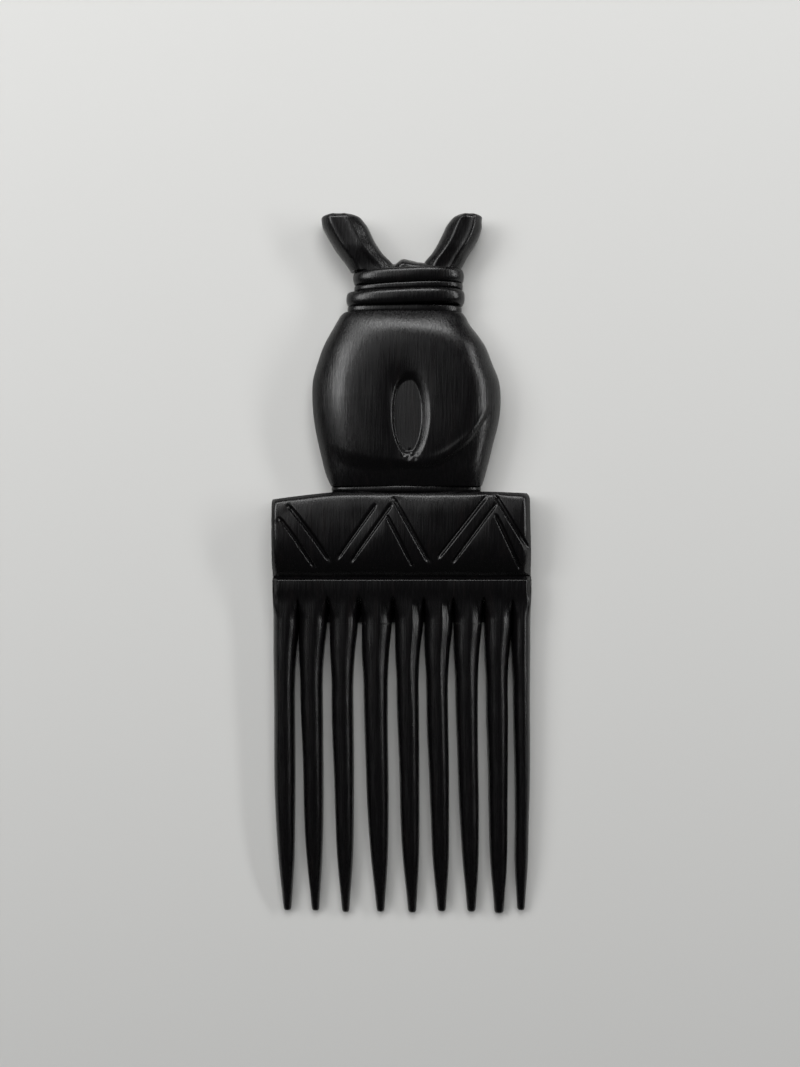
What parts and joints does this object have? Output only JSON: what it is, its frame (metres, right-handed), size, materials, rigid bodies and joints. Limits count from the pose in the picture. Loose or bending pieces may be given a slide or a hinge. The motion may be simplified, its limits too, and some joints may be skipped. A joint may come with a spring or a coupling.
{
  "type": "hair comb",
  "caption": "Carved wooden hair comb: long straight teeth, a zigzag-cut panel, and a flat handle shaped like a tied pouch with an oval hollow.",
  "frame": {"origin": "on the flat back, at the middle of the length and of the width", "axes": "+Z out of the carved front, +Y along the comb from the tooth tips towards the tied ends, +X across the teeth to the viewer's right"},
  "size_m": [0.068, 0.184, 0.012],
  "materials": {
    "ebony": "polished"
  },
  "bodies": {
    "root": {"tooth_1": "ebony", "tooth_2": "ebony", "tooth_3": "ebony", "tooth_4": "ebony", "tooth_5": "ebony", "tooth_6": "ebony", "tooth_7": "ebony", "tooth_8": "ebony", "tooth_9": "ebony", "tooth_bar": "ebony", "zigzag_panel": "ebony", "foot_collar": "ebony", "handle_body": "ebony", "neck_collar": "ebony", "wrap_lower": "ebony", "wrap_middle": "ebony", "wrap_upper": "ebony", "mouth_lip": "ebony", "ear_left": "ebony", "ear_right": "ebony"}
  },
  "joints": []
}
